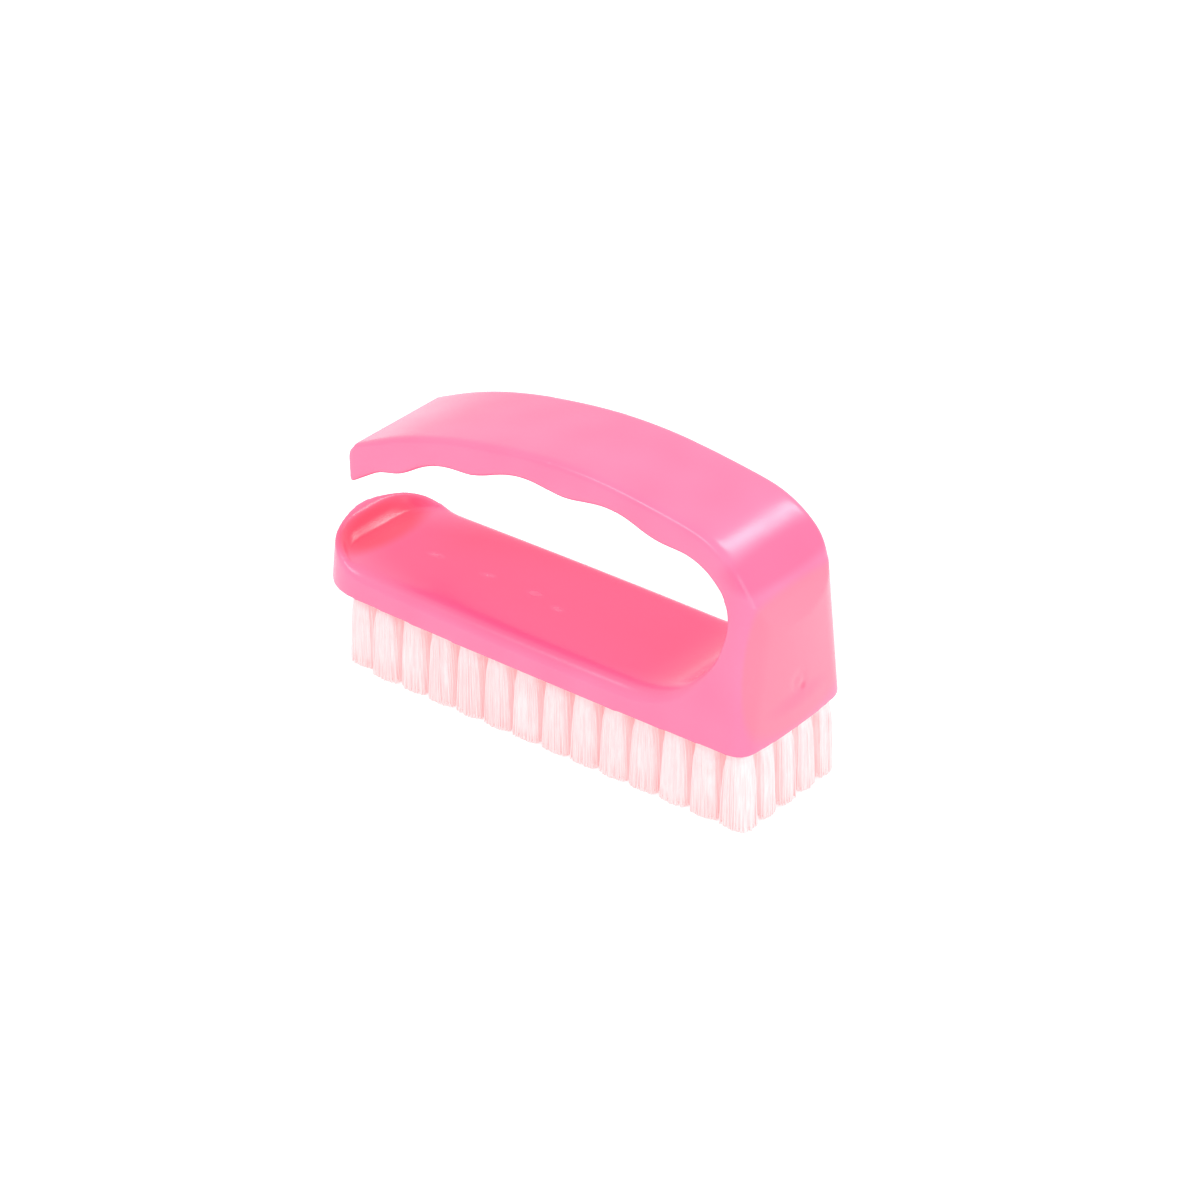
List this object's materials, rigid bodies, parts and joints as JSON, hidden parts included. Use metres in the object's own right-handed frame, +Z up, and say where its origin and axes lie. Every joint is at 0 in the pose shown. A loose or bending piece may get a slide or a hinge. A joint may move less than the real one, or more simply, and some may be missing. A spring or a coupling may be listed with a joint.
{
  "type": "nail brush",
  "caption": "Nail brush with a moulded block, a C shaped handle with finger grooves, a scooped toe and short bristle tufts.",
  "frame": {"origin": "middle of the rectangle that the bristle tips stand on, below the block", "axes": "+X along the block to the column end, +Y across the block, +Z up out of the handle's back"},
  "size_m": [0.096, 0.0302, 0.0552],
  "materials": {
    "pink_body": "gloss",
    "pale_filament": "satin",
    "anchor_metal": "bare"
  },
  "bodies": {
    "root": {"body": "pink_body", "tuft_row_01": "pale_filament", "tuft_row_02": "pale_filament", "tuft_row_03": "pale_filament", "tuft_row_04": "pale_filament", "tuft_row_05": "pale_filament", "tuft_row_06": "pale_filament", "tuft_row_07": "pale_filament", "tuft_row_08": "pale_filament", "tuft_row_09": "pale_filament", "tuft_row_10": "pale_filament", "tuft_row_11": "pale_filament", "tuft_row_12": "pale_filament", "tuft_row_13": "pale_filament", "tuft_row_14": "pale_filament", "anchor_row_01": "anchor_metal", "anchor_row_02": "anchor_metal", "anchor_row_03": "anchor_metal", "anchor_row_04": "anchor_metal", "anchor_row_05": "anchor_metal", "anchor_row_06": "anchor_metal", "anchor_row_07": "anchor_metal", "anchor_row_08": "anchor_metal", "anchor_row_09": "anchor_metal", "anchor_row_10": "anchor_metal", "anchor_row_11": "anchor_metal", "anchor_row_12": "anchor_metal", "anchor_row_13": "anchor_metal", "anchor_row_14": "anchor_metal"}
  },
  "joints": []
}
